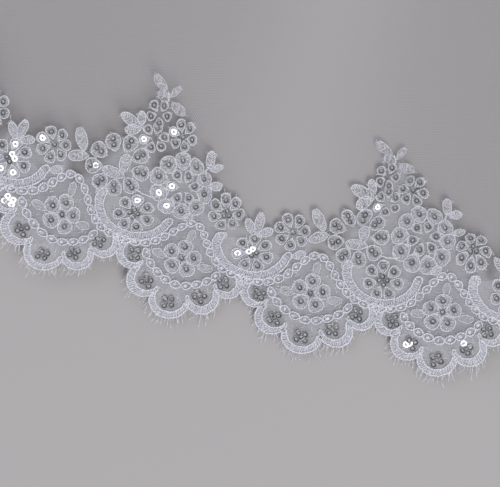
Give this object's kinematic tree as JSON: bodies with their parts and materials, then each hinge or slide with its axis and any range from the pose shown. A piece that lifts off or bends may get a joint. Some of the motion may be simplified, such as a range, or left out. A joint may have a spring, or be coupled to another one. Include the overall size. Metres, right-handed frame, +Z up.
{
  "type": "bridal veil",
  "caption": "Single-tier bridal veil of tulle laid flat like a fan, gathered onto a hair comb, with scalloped floral lace edging.",
  "frame": {"origin": "centre of the laid veil's bounding box, on the surface it lies on", "axes": "+Z up from the surface, +X to the veil's right, +Y from the hem towards the comb"},
  "size_m": [0.9802, 0.6366, 0.0143],
  "materials": {
    "tulle": "fine hexagonal net, pale lilac white, soft sheen",
    "lace": "corded and sequinned embroidery, cool white thread",
    "comb": "clear pale plastic, smooth"
  },
  "bodies": {
    "root": {"tulle_panel": "tulle", "lace_hem": "lace", "lace_left": "lace", "lace_right": "lace", "comb": "comb"}
  },
  "joints": []
}
